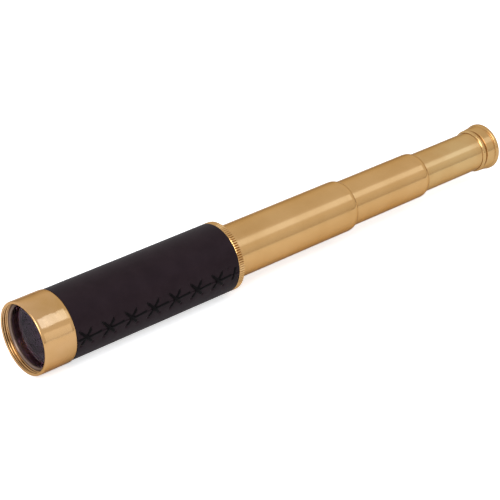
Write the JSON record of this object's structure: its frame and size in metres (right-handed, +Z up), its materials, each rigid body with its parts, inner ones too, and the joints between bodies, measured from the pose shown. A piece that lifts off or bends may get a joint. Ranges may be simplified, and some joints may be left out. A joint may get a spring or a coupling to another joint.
{
  "type": "hand telescope",
  "caption": "Hand telescope with nested brass draws that slide and turn, a leather-covered barrel with a laced seam, a threaded objective cell and a dished eyecup.",
  "frame": {"origin": "on the surface that the telescope lies on, under the middle of its length", "axes": "+X along the optical axis from the objective to the eye, +Z up, -Y the side of the barrel with the laced seam"},
  "size_m": [0.3104, 0.037, 0.037],
  "materials": {
    "polished_brass": "turned and polished",
    "tube_brass": "satin, drawn tube",
    "blackened_metal": "matt black",
    "dark_leather": "smooth, nearly black brown",
    "black_lace": "waxed cord",
    "felt": "felt",
    "coated_glass": "coated lens",
    "clear_glass": "polished lens"
  },
  "bodies": {
    "barrel": {"barrel_tube": "tube_brass", "leather_sleeve": "dark_leather", "seam_lacing": "black_lace", "objective_cell": "polished_brass", "objective_crown_lens": "coated_glass", "objective_flint_lens": "clear_glass", "objective_retaining_ring": "blackened_metal", "knurled_collar": "polished_brass", "barrel_bush": "polished_brass", "barrel_baffle": "blackened_metal"},
    "large_felt": {"large_draw_felt": "felt"},
    "large_draw": {"large_draw_tube": "tube_brass", "large_draw_stop_ring": "tube_brass", "large_draw_end_collar": "polished_brass", "large_draw_bush": "polished_brass", "large_draw_baffle": "blackened_metal"},
    "medium_felt": {"medium_draw_felt": "felt"},
    "medium_draw": {"medium_draw_tube": "tube_brass", "medium_draw_stop_ring": "tube_brass", "medium_draw_end_collar": "polished_brass", "medium_draw_bush": "polished_brass", "medium_draw_baffle": "blackened_metal"},
    "small_felt": {"small_draw_felt": "felt"},
    "small_draw": {"small_draw_tube": "tube_brass", "small_draw_stop_ring": "tube_brass", "erector_tube": "tube_brass", "erector_front_lens": "clear_glass", "erector_rear_lens": "clear_glass", "erector_front_ring": "blackened_metal", "erector_rear_ring": "blackened_metal", "erector_diaphragm": "blackened_metal", "eyepiece_tube": "tube_brass", "field_lens": "clear_glass", "field_lens_ring": "blackened_metal", "field_stop": "blackened_metal", "eye_lens": "clear_glass", "eye_lens_ring": "blackened_metal", "eyecup": "polished_brass"}
  },
  "joints": [
    {"name": "large_draw_slide", "type": "slide", "parent": "barrel", "child": "large_felt", "axis": [1, 0, 0], "range_m": [-0.0764, 0]},
    {"name": "large_draw_turn", "type": "hinge", "parent": "large_felt", "child": "large_draw", "pos_m": [-0.0505, 0, 0.0185], "axis": [1, 0, 0], "continuous": true},
    {"name": "medium_draw_slide", "type": "slide", "parent": "large_draw", "child": "medium_felt", "axis": [1, 0, 0], "range_m": [-0.0494, 0.0245]},
    {"name": "medium_draw_turn", "type": "hinge", "parent": "medium_felt", "child": "medium_draw", "pos_m": [0.0067, 0, 0.0185], "axis": [1, 0, 0], "continuous": true},
    {"name": "small_draw_slide", "type": "slide", "parent": "medium_draw", "child": "small_felt", "axis": [1, 0, 0], "range_m": [-0.0425, 0.0245]},
    {"name": "small_draw_turn", "type": "hinge", "parent": "small_felt", "child": "small_draw", "pos_m": [0.0609, 0, 0.0185], "axis": [1, 0, 0], "continuous": true}
  ]
}
